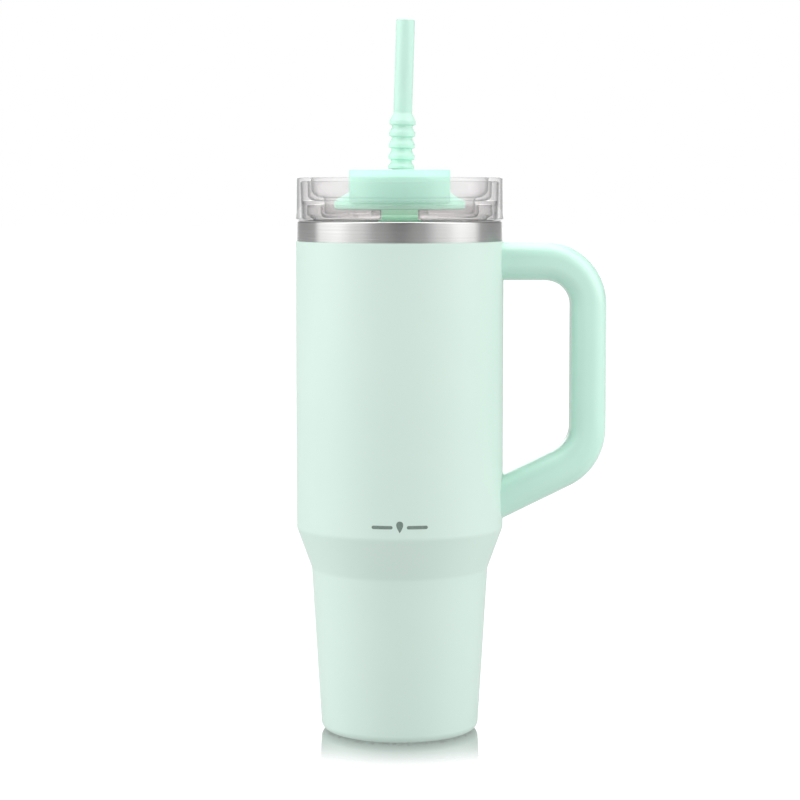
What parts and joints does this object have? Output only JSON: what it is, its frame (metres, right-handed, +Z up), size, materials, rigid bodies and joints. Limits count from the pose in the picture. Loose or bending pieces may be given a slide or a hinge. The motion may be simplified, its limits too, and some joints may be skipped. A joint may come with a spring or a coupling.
{
  "type": "insulated travel mug",
  "caption": "Tall vacuum-insulated travel mug with a tapered base, side handle, clear lid with a turning sip cover, and a flexible straw.",
  "frame": {"origin": "centre of the standing ring, on the vessel's axis, at the surface it stands on", "axes": "+Z up along the vessel's axis, +X towards the handle, -Y towards the front face"},
  "size_m": [0.1495, 0.1, 0.3436],
  "materials": {
    "coated_steel": "smooth satin powder coat",
    "bare_steel": "brushed around the axis",
    "braze": "dull braze bead",
    "getter_alloy": "pressed sintered tablet",
    "core_plastic": "plain moulded",
    "handle_plastic": "soft satin",
    "screw_steel": "plated",
    "clear_plastic": "clear, polished",
    "clear_silicone": "translucent silicone",
    "mint_plastic": "satin gloss",
    "mint_silicone": "soft silicone",
    "straw_plastic": "smooth, slightly translucent"
  },
  "bodies": {
    "vessel": {"outer_shell": "coated_steel", "inner_vessel": "bare_steel", "base_plate": "bare_steel", "seal_off_plug": "braze", "getter_pellet": "getter_alloy", "getter_clip": "bare_steel", "base_cover": "coated_steel", "handle_bracket_upper": "bare_steel", "handle_bracket_lower": "bare_steel", "handle_core": "core_plastic", "handle_grip": "handle_plastic", "handle_screws": "screw_steel", "handle_screw_plugs": "handle_plastic"},
    "lid": {"lid_body": "clear_plastic", "lid_rim": "clear_plastic", "lid_gasket": "clear_silicone"},
    "cover": {"cover_disc": "mint_plastic", "cover_cap": "mint_plastic", "cover_seal": "clear_silicone", "straw_grommet": "mint_silicone"},
    "straw": {"straw_lower_tube": "straw_plastic"},
    "straw_neck": {"straw_bellows": "straw_plastic"},
    "straw_mouth": {"straw_mouth_tube": "straw_plastic"}
  },
  "joints": [
    {"name": "lid_lift", "type": "slide", "parent": "vessel", "child": "lid", "axis": [0, 0, 1], "range_m": [0, 0.245]},
    {"name": "cover_turn", "type": "hinge", "parent": "lid", "child": "cover", "pos_m": [0, 0, 0.25], "axis": [0, 0, 1], "range_deg": [0, 90]},
    {"name": "straw_pull", "type": "slide", "parent": "lid", "child": "straw", "axis": [0.0304, 0, 0.9995], "range_m": [0, 0.262]},
    {"name": "straw_turn", "type": "hinge", "parent": "straw", "child": "straw_neck", "pos_m": [0.00068, 0, 0.27239], "axis": [0.0304, 0, 0.9995], "continuous": true},
    {"name": "straw_bend", "type": "hinge", "parent": "straw_neck", "child": "straw_mouth", "pos_m": [0.00108, 0, 0.28563], "axis": [0, -1, 0], "range_deg": [0, 75], "deforming": ["straw_bellows"]}
  ]
}
